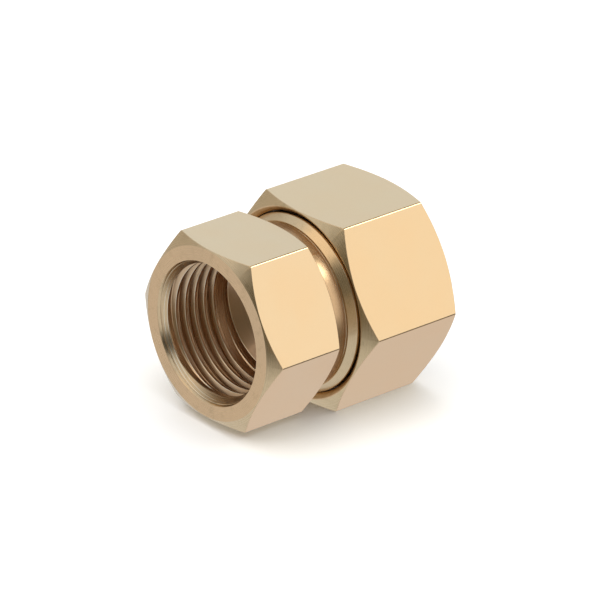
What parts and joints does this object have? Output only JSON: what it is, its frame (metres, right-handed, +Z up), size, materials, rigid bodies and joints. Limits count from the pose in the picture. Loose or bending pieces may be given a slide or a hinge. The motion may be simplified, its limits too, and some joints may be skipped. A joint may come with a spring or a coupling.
{
  "type": "pipe union",
  "caption": "Brass union: hexagon tail piece with a female thread, and a larger loose union nut that turns freely on its collar and seals on a flat washer.",
  "frame": {"origin": "on the pipe axis, halfway between the tail piece's mouth and the union nut's mouth, which is the centre of the whole union's box", "axes": "+X along the pipe axis from the tail piece's mouth to the union nut's mouth; +Z up, square to two flats of each hexagon; +Y across"},
  "size_m": [0.035, 0.0346, 0.03],
  "materials": {
    "tail_brass": "polished flats, turned bore and neck",
    "nut_brass": "polished flats, turned chamfers",
    "spring_steel": "drawn wire",
    "washer_rubber": "matt black rubber"
  },
  "bodies": {
    "tail": {"tail_piece": "tail_brass"},
    "nut": {"union_nut": "nut_brass"},
    "ring": {"retaining_ring": "spring_steel"},
    "washer": {"sealing_washer": "washer_rubber"}
  },
  "joints": [
    {"name": "nut_swivel", "type": "hinge", "parent": "tail", "child": "nut", "pos_m": [0, 0, 0], "axis": [1, 0, 0], "continuous": true},
    {"name": "ring_turn", "type": "hinge", "parent": "tail", "child": "ring", "pos_m": [0.0026, 0, 0], "axis": [1, 0, 0], "continuous": true},
    {"name": "washer_removal", "type": "slide", "parent": "tail", "child": "washer", "axis": [1, 0, 0], "range_m": [0, 0.0145]}
  ]
}
